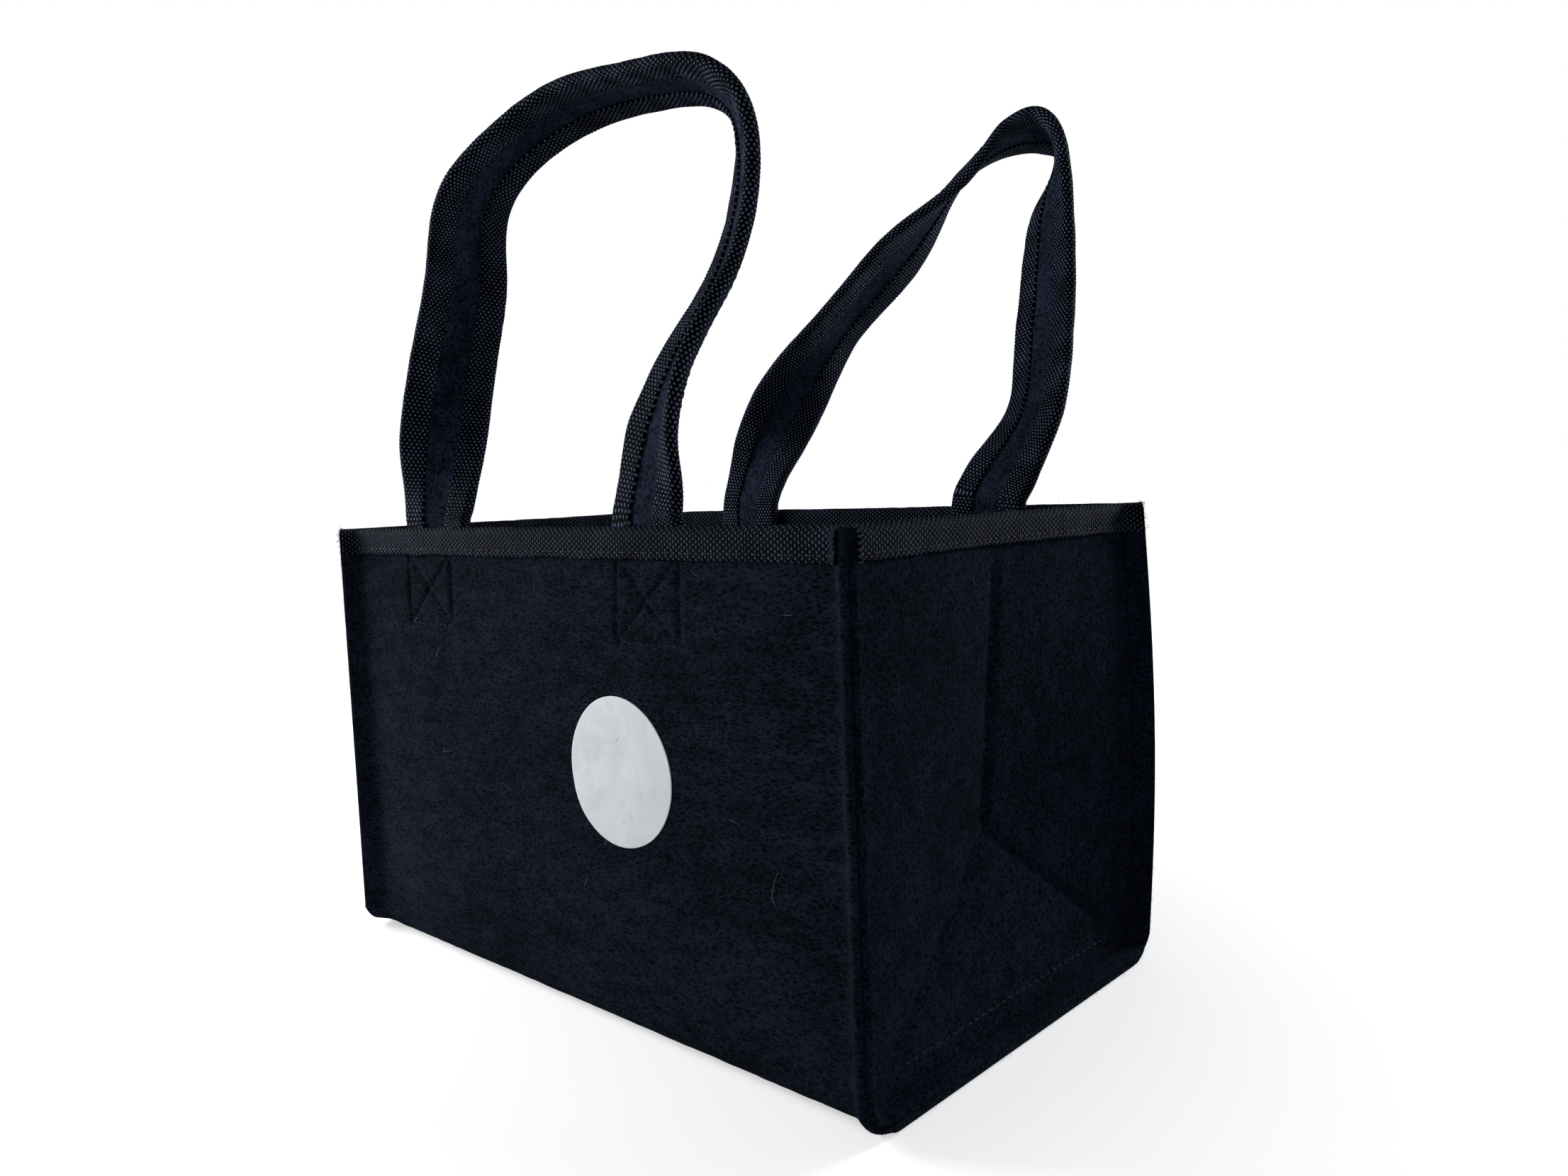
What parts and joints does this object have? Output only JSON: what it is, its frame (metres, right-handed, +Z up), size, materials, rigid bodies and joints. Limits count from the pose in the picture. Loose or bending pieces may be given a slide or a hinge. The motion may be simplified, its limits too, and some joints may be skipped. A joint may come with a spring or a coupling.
{
  "type": "six pack carrier",
  "caption": "Open-topped felt carrier bag for bottles, with a folded body, creased end gussets, raw corner seams, webbing rim tape and two hand straps that swing.",
  "frame": {"origin": "middle of the base, on the surface the bag stands on", "axes": "+X along the long walls to the right, +Y from the front wall to the back wall, +Z up"},
  "size_m": [0.25, 0.2104, 0.2996],
  "materials": {
    "felt": "fuzzy needled felt, near black with a cool tint",
    "webbing_tape": "ribbed woven tape, soft sheen",
    "paper": "smooth matt paper"
  },
  "bodies": {
    "bag": {"wrap_panel": "felt", "left_gusset": "felt", "right_gusset": "felt", "front_rim_tape": "webbing_tape", "back_rim_tape": "webbing_tape", "left_rim_tape": "webbing_tape", "right_rim_tape": "webbing_tape", "front_left_tab": "felt", "front_left_tab_outer_tape": "webbing_tape", "front_left_tab_inner_tape": "webbing_tape", "front_right_tab": "felt", "front_right_tab_outer_tape": "webbing_tape", "front_right_tab_inner_tape": "webbing_tape", "back_left_tab": "felt", "back_left_tab_outer_tape": "webbing_tape", "back_left_tab_inner_tape": "webbing_tape", "back_right_tab": "felt", "back_right_tab_outer_tape": "webbing_tape", "back_right_tab_inner_tape": "webbing_tape", "round_label": "paper"},
    "front_handle": {"front_handle_felt": "felt", "front_handle_outer_tape": "webbing_tape", "front_handle_inner_tape": "webbing_tape"},
    "back_handle": {"back_handle_felt": "felt", "back_handle_outer_tape": "webbing_tape", "back_handle_inner_tape": "webbing_tape"}
  },
  "joints": [
    {"name": "front_handle_swing", "type": "hinge", "parent": "bag", "child": "front_handle", "pos_m": [0, -0.0655, 0.156], "axis": [1, 0, 0], "range_deg": [-8, 102]},
    {"name": "back_handle_swing", "type": "hinge", "parent": "bag", "child": "back_handle", "pos_m": [0, 0.0655, 0.156], "axis": [-1, 0, 0], "range_deg": [-40, 69]}
  ]
}
